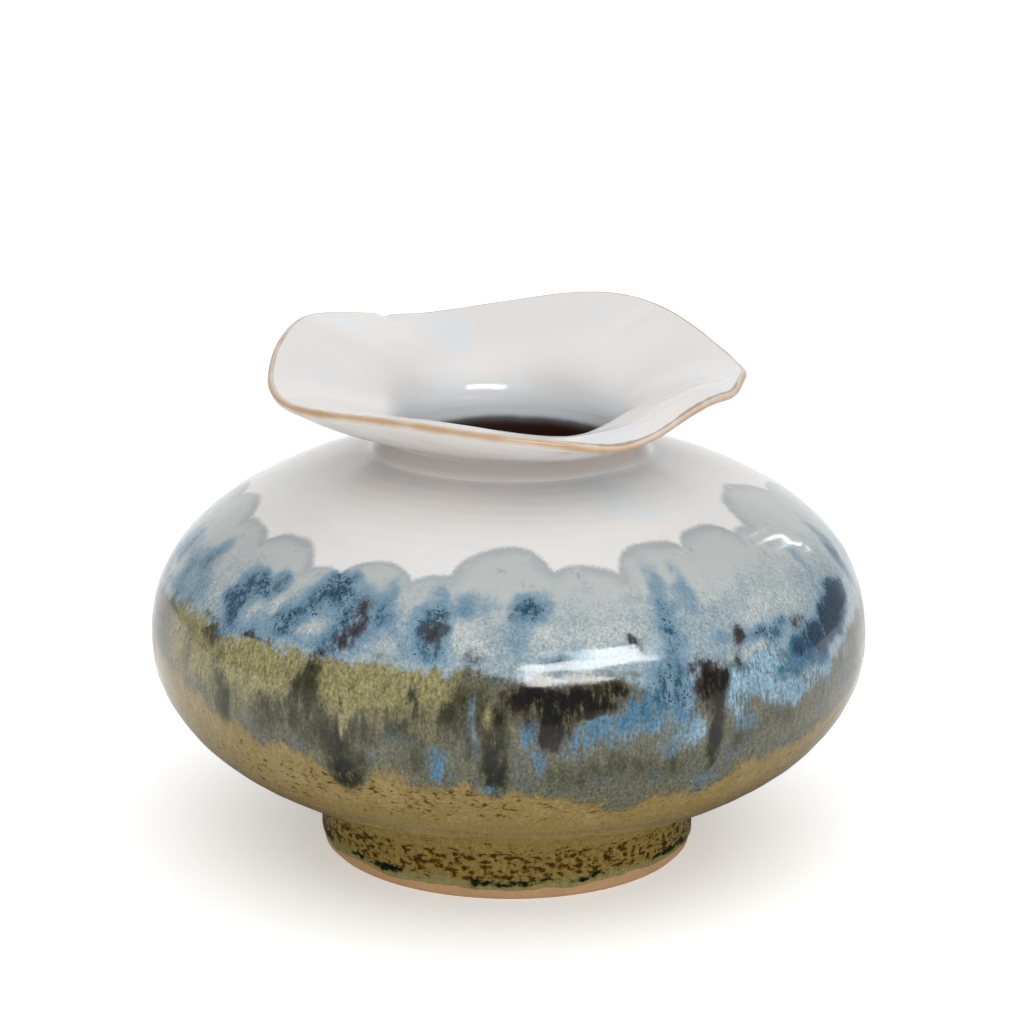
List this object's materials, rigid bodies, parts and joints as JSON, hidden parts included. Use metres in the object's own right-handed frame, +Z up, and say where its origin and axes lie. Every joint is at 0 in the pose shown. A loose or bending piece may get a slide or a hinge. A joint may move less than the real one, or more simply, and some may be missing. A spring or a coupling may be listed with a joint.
{
  "type": "flower vase",
  "caption": "Squat round stoneware flower vase on a foot ring, with a short neck, a wide wavy flared rim and brushed glazes that run together.",
  "frame": {"origin": "centre of the foot, on the surface the vase stands on", "axes": "+Z up along the vase's axis, -Y towards the side with the low front of the rim"},
  "size_m": [0.1999, 0.2, 0.1461],
  "materials": {
    "stoneware_clay": "matt fired clay",
    "ochre_glaze": "gloss, speckled brown",
    "blue_glaze": "gloss, mottled",
    "white_glaze": "gloss, lightly pitted",
    "liner_glaze": "gloss, dark brown"
  },
  "bodies": {
    "root": {"foot_ring": "stoneware_clay", "lower_bowl": "stoneware_clay", "upper_bowl": "stoneware_clay", "neck_collar": "stoneware_clay", "flared_rim": "stoneware_clay", "foot_joint_coil": "stoneware_clay", "neck_joint_coil": "stoneware_clay", "ochre_glaze_coat": "ochre_glaze", "blue_glaze_coat": "blue_glaze", "white_glaze_coat": "white_glaze", "rim_glaze_coat": "white_glaze", "liner_glaze_coat": "liner_glaze"}
  },
  "joints": []
}
